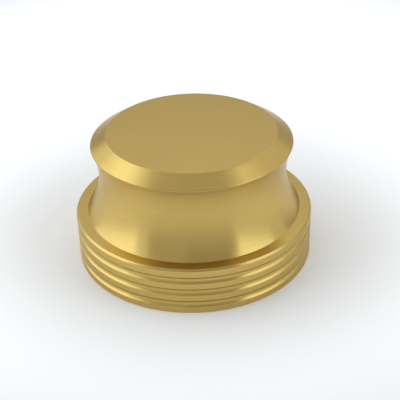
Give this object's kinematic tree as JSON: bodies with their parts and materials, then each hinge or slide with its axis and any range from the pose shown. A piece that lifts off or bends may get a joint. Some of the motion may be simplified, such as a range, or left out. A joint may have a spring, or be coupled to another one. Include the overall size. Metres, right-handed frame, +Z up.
{
  "type": "record weight clamp",
  "caption": "Turned, gold-anodised aluminium record weight with a bevelled crown, a waisted grip, a grooved base and a blind bore that drops over a turntable's spindle.",
  "frame": {"origin": "centre of the foot, on the surface that the weight stands on", "axes": "+Z up along the spindle's axis; the weight is round about it, so X and Y are free"},
  "size_m": [0.08, 0.08, 0.044],
  "materials": {
    "gold_anodised_aluminium": "satin, gold anodised"
  },
  "bodies": {
    "root": {"turned_weight": "gold_anodised_aluminium"}
  },
  "joints": []
}
